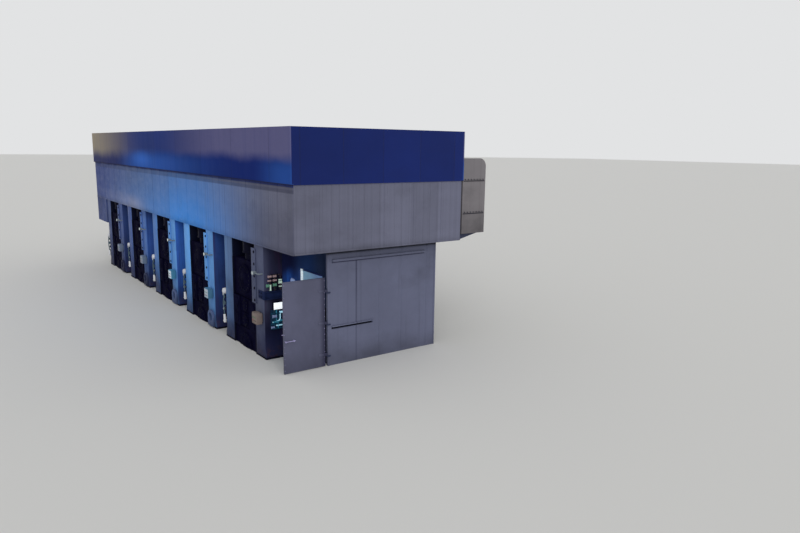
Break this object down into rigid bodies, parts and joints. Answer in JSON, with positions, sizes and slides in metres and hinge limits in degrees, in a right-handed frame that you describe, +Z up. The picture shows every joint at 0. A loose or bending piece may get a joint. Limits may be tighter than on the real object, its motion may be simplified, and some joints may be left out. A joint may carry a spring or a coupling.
{
  "type": "enclosed tandem rolling mill",
  "caption": "Four-high rolling mill stands in line under one blue fume hood, with end walls and a hinged guard door.",
  "frame": {"origin": "on the floor below the middle of the overall box", "axes": "+X along the pass line towards the exit end, +Y from the operator side to the drive side, +Z up"},
  "size_m": [26.46, 8.1, 7.8],
  "materials": {
    "housing_paint": "grey-blue machine enamel, oily and scuffed",
    "sole_steel": "dark oily paint",
    "wear_plate": "ground steel, oily",
    "block_paint": "machine enamel, oily",
    "backup_roll": "ground roll steel",
    "work_roll": "fine ground roll steel",
    "backup_chock": "dark oily casting",
    "work_chock": "dark oily casting",
    "cover_paint": "machine enamel, oily",
    "cylinder_steel": "machine enamel",
    "separator_paint": "machine enamel",
    "header_pipe": "wet teal paint",
    "table_steel": "dark oily paint",
    "tension_roll": "plated roll",
    "box_enamel": "cream enamel",
    "lamp_metal": "pale enamel",
    "bracket_paint": "light blue enamel",
    "manifold_paint": "enamel with pale couplings",
    "piping_paint": "teal enamel, wet",
    "screen_sheet": "pale sheet",
    "guard_sheet": "dark teal sheet, wet",
    "belt_paint": "blue-grey sheet cladding",
    "fascia_long": "gloss blue sheet",
    "fascia_end": "deep blue sheet",
    "roof_sheet": "dusty sheet",
    "frame_paint": "structural paint",
    "wall_paint": "blue-grey sheet cladding",
    "plenum_sheet": "light grey sheet",
    "door_paint": "blue-grey enamel",
    "hinge_steel": "oiled steel",
    "handle_metal": "worn bright metal"
  },
  "bodies": {
    "mill": {"sole_plates": "sole_steel", "operator_housings": "housing_paint", "drive_housings": "housing_paint", "window_liners": "wear_plate", "project_blocks": "block_paint", "upper_backup_rolls": "backup_roll", "lower_backup_rolls": "backup_roll", "upper_work_rolls": "work_roll", "lower_work_rolls": "work_roll", "upper_backup_chocks": "backup_chock", "lower_backup_chocks": "backup_chock", "upper_work_chocks": "work_chock", "lower_work_chocks": "work_chock", "chock_covers": "cover_paint", "roll_force_cylinders": "cylinder_steel", "keeper_plates": "housing_paint", "housing_separators": "separator_paint", "coolant_headers": "header_pipe", "strip_tables": "table_steel", "tension_rolls": "tension_roll", "control_boxes": "box_enamel", "work_lamps": "lamp_metal", "ring_brackets": "bracket_paint", "hose_manifolds": "manifold_paint", "exit_side_piping": "piping_paint", "exit_screen": "screen_sheet", "operator_belt": "belt_paint", "drive_belt": "belt_paint", "exit_belt": "belt_paint", "entry_belt": "belt_paint", "operator_fascia": "fascia_long", "drive_fascia": "fascia_long", "exit_fascia": "fascia_end", "entry_fascia": "fascia_end", "mist_guards": "guard_sheet", "hood_roof": "roof_sheet", "hood_frame": "frame_paint", "hood_girders": "frame_paint", "drive_columns": "frame_paint", "exit_wall": "wall_paint", "entry_wall": "wall_paint", "exit_trim": "wall_paint", "entry_trim": "wall_paint", "entry_skirt": "belt_paint", "exhaust_plenum": "plenum_sheet", "plenum_brackets": "frame_paint", "plenum_collars": "plenum_sheet", "door_pins": "hinge_steel"},
    "door": {"door_sheet": "door_paint", "door_frame": "door_paint", "door_knuckles": "hinge_steel", "door_handle": "handle_metal"}
  },
  "joints": [
    {"name": "door_hinge", "type": "hinge", "parent": "mill", "child": "door", "pos_m": [12.704, -2.415, 0.42], "axis": [0, 0, 1], "range_deg": [0, 110]}
  ]
}
